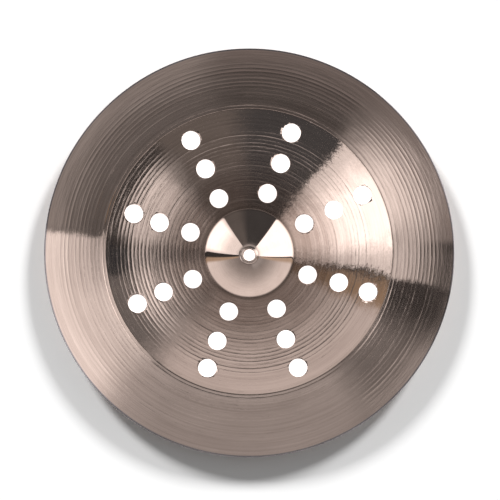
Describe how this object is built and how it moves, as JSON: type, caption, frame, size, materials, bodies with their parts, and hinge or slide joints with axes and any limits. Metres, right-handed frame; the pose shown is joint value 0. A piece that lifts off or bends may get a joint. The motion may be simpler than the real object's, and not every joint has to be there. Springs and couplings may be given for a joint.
{
  "type": "china cymbal",
  "caption": "Round china cymbal: a lathed bronze plate with a central bored bell, a curved bow with radiating arms of sound holes, and an upturned flange.",
  "frame": {"origin": "centre of the stand bore, on the underside of the flat land round it, where the plate sits on the stand's felt", "axes": "+Z along the bore's axis, out of the top of the bell; +X and +Y are right and up in the picture, which looks straight at the bell side"},
  "size_m": [0.4572, 0.4572, 0.0418],
  "materials": {
    "bronze": "bare bell bronze, lathed in rings, with a thin clear lacquer"
  },
  "bodies": {
    "root": {"cymbal_plate": "bronze"}
  },
  "joints": []
}
